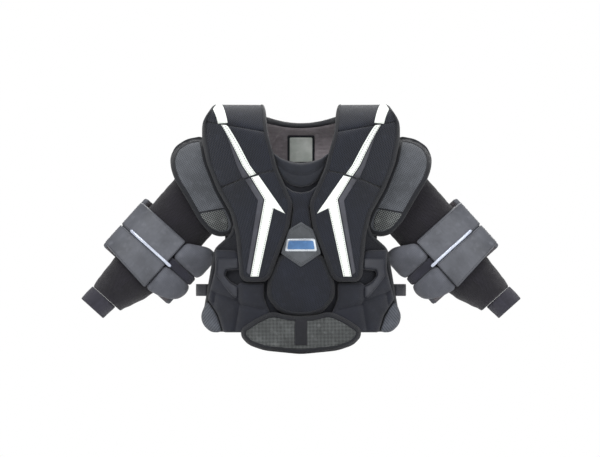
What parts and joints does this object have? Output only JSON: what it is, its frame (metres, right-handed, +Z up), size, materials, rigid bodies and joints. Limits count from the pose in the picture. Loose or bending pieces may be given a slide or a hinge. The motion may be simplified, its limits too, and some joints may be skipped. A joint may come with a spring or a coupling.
{
  "type": "goalkeeper chest and arm protector",
  "caption": "Padded ice hockey goalkeeper's vest with shoulder yokes, a hanging belly pad, shoulder caps, full arms with elbow wraps and wrist cuffs.",
  "frame": {"origin": "middle of the plane on which the wearer's shoulders carry the part, on the plane of symmetry", "axes": "+Z up as worn, -Y towards the wearer's front, +X towards the wearer's left"},
  "size_m": [0.8804, 0.2482, 0.4986],
  "materials": {
    "twill": "black twill mesh, satin",
    "vest_mesh": "black quilted knit",
    "sleeve_mesh": "black ribbed mesh",
    "lining": "taupe satin lining",
    "label": "pale woven label, bare",
    "collar_rib": "ribbed knit",
    "patch_leather": "grey synthetic leather",
    "emblem": "moulded badge, bare",
    "stripe": "white synthetic leather",
    "piping": "dark grey braid",
    "wing_rib": "grey ribbed knit",
    "belly_mesh": "grey perforated mesh",
    "binding": "black woven binding",
    "webbing": "black webbing",
    "elastic": "black elastic",
    "cap_fabric": "grey embossed synthetic fabric",
    "cap_mesh": "coarse grey spacer mesh",
    "elbow_leather": "grey synthetic leather, satin",
    "reflective": "reflective tape",
    "lobe_fabric": "dark grey synthetic fabric",
    "cup_plastic": "black plastic",
    "cuff_knit": "charcoal knit cuff"
  },
  "bodies": {
    "torso": {"front_vest": "vest_mesh", "back_panel": "vest_mesh", "back_lining": "lining", "neck_label": "label", "spine_pad": "twill", "neck_collar": "collar_rib", "sternum_panel": "twill", "abdomen_pad": "twill", "sternum_patch": "patch_leather", "emblem_plate": "emblem", "stripe_piping": "piping", "left_shoulder_block": "twill", "left_upper_chest_block": "twill", "left_lower_chest_block": "twill", "left_chest_stripe": "stripe", "left_waist_pad": "vest_mesh", "left_waist_wing": "wing_rib", "left_side_strap": "elastic", "left_shoulder_tab": "webbing", "right_shoulder_block": "twill", "right_upper_chest_block": "twill", "right_lower_chest_block": "twill", "right_chest_stripe": "stripe", "right_waist_pad": "vest_mesh", "right_waist_wing": "wing_rib", "right_side_strap": "elastic", "right_shoulder_tab": "webbing"},
    "belly": {"belly_pad": "belly_mesh", "belly_binding": "binding", "belly_strap": "webbing"},
    "left_upper_arm": {"left_upper_sleeve": "sleeve_mesh", "left_arm_hanger": "webbing", "left_elbow_upper_panel": "elbow_leather", "left_elbow_upper_lobe": "lobe_fabric", "left_elbow_centre_pad": "sleeve_mesh", "left_elbow_upper_band": "elbow_leather", "left_elbow_bar": "reflective", "left_elbow_cup": "cup_plastic"},
    "left_forearm": {"left_forearm_sleeve": "sleeve_mesh", "left_wrist_cuff": "cuff_knit", "left_elbow_lower_panel": "elbow_leather", "left_elbow_lower_lobe": "lobe_fabric", "left_elbow_lower_band": "elbow_leather"},
    "left_cap": {"left_shoulder_cap": "cap_fabric", "left_cap_patch": "cap_mesh"},
    "right_upper_arm": {"right_upper_sleeve": "sleeve_mesh", "right_arm_hanger": "webbing", "right_elbow_upper_panel": "elbow_leather", "right_elbow_upper_lobe": "lobe_fabric", "right_elbow_centre_pad": "sleeve_mesh", "right_elbow_upper_band": "elbow_leather", "right_elbow_bar": "reflective", "right_elbow_cup": "cup_plastic"},
    "right_forearm": {"right_forearm_sleeve": "sleeve_mesh", "right_wrist_cuff": "cuff_knit", "right_elbow_lower_panel": "elbow_leather", "right_elbow_lower_lobe": "lobe_fabric", "right_elbow_lower_band": "elbow_leather"},
    "right_cap": {"right_shoulder_cap": "cap_fabric", "right_cap_patch": "cap_mesh"}
  },
  "joints": [
    {"name": "belly_swing", "type": "hinge", "parent": "torso", "child": "belly", "pos_m": [0, -0.1499, -0.379], "axis": [-1, 0, 0], "range_deg": [0, 60]},
    {"name": "left_arm_raise", "type": "hinge", "parent": "torso", "child": "left_upper_arm", "pos_m": [0.168, 0.005, -0.114], "axis": [0, -1, 0], "range_deg": [0, 40]},
    {"name": "left_elbow_bend", "type": "hinge", "parent": "left_upper_arm", "child": "left_forearm", "pos_m": [0.29781, -0.0476, -0.25817], "axis": [-0.7431, 0, -0.6691], "range_deg": [0, 70]},
    {"name": "left_cap_lift", "type": "hinge", "parent": "torso", "child": "left_cap", "pos_m": [0.2, 0, -0.028], "axis": [0, -1, 0], "range_deg": [0, 50]},
    {"name": "right_arm_raise", "type": "hinge", "parent": "torso", "child": "right_upper_arm", "pos_m": [-0.168, 0.005, -0.114], "axis": [0, 1, 0], "range_deg": [0, 40]},
    {"name": "right_elbow_bend", "type": "hinge", "parent": "right_upper_arm", "child": "right_forearm", "pos_m": [-0.29781, -0.0476, -0.25817], "axis": [-0.7431, 0, 0.6691], "range_deg": [0, 70]},
    {"name": "right_cap_lift", "type": "hinge", "parent": "torso", "child": "right_cap", "pos_m": [-0.2, 0, -0.028], "axis": [0, 1, 0], "range_deg": [0, 50]}
  ],
  "couplings": [
    {"joint": "left_cap_lift", "follows": "left_arm_raise", "ratio": 1.2},
    {"joint": "right_cap_lift", "follows": "right_arm_raise", "ratio": 1.2}
  ]
}
